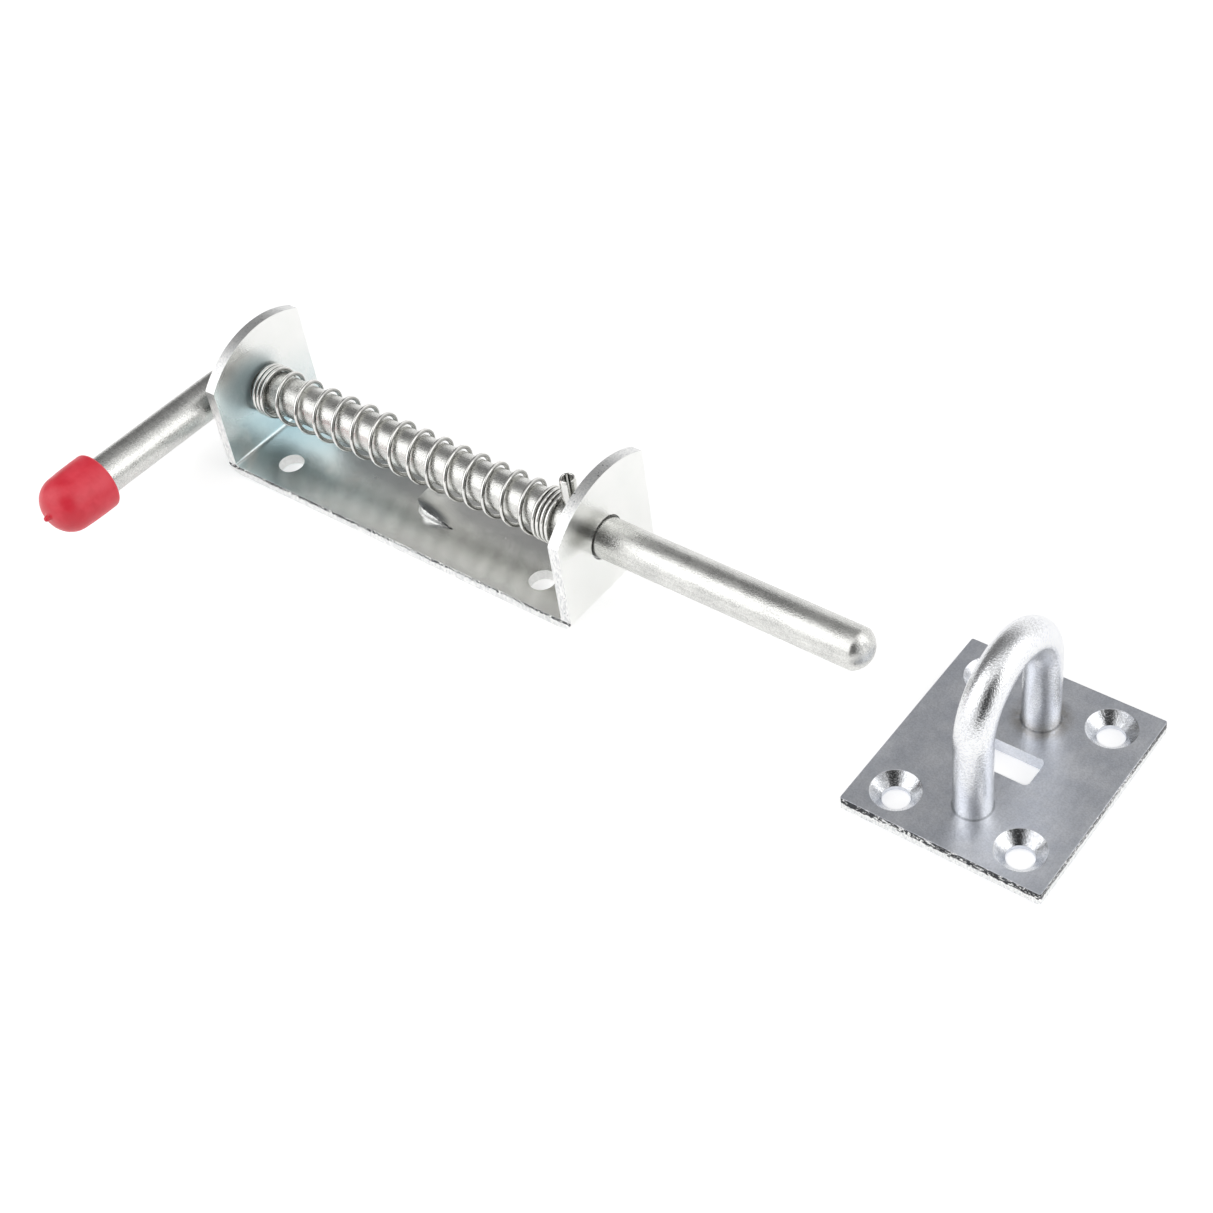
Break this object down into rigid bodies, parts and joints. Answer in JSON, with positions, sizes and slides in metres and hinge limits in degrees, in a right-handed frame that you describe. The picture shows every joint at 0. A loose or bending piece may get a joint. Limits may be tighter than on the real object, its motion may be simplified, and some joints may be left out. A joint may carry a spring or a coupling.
{
  "type": "padlock bolt",
  "caption": "Spring-loaded round bolt with a bent, capped handle in a folded steel bracket, and a keep plate with a staple for the bolt or a padlock.",
  "frame": {"origin": "on the bracket's underside, midway between its two front screw holes, under the bolt", "axes": "+X along the bolt towards its tip and the keep, +Z out of the mounting surface, and the handle lies towards -Y at rest"},
  "size_m": [0.2519, 0.0925, 0.0405],
  "materials": {
    "zinc_sheet": "bright zinc plate with a faint blue cast",
    "zinc_plate": "bright zinc plate, greyer and bluer, with sheared edges",
    "zinc_bar": "bright zinc plate on round bar, satin with fine lengthwise streaks",
    "spring_wire": "bright zinc plate on drawn wire",
    "red_vinyl": "soft dipped vinyl, semi-matt"
  },
  "bodies": {
    "fixed_parts": {"bracket": "zinc_sheet", "keep_plate": "zinc_plate", "staple": "zinc_bar"},
    "spring_coil": {"spring": "spring_wire"},
    "bolt": {"bolt_rod": "zinc_bar", "handle_cap": "red_vinyl", "roll_pin": "spring_wire"}
  },
  "joints": [
    {"name": "bolt_turn", "type": "hinge", "parent": "fixed_parts", "child": "spring_coil", "pos_m": [0, 0, 0.0175], "axis": [-1, 0, 0], "range_deg": [-11, 187]},
    {"name": "bolt_slide", "type": "slide", "parent": "spring_coil", "child": "bolt", "axis": [-1, 0, 0], "range_m": [0, 0.053], "stiffness_N_per_m": 480, "springref_m": -0.027, "deforming": ["spring"]}
  ]
}
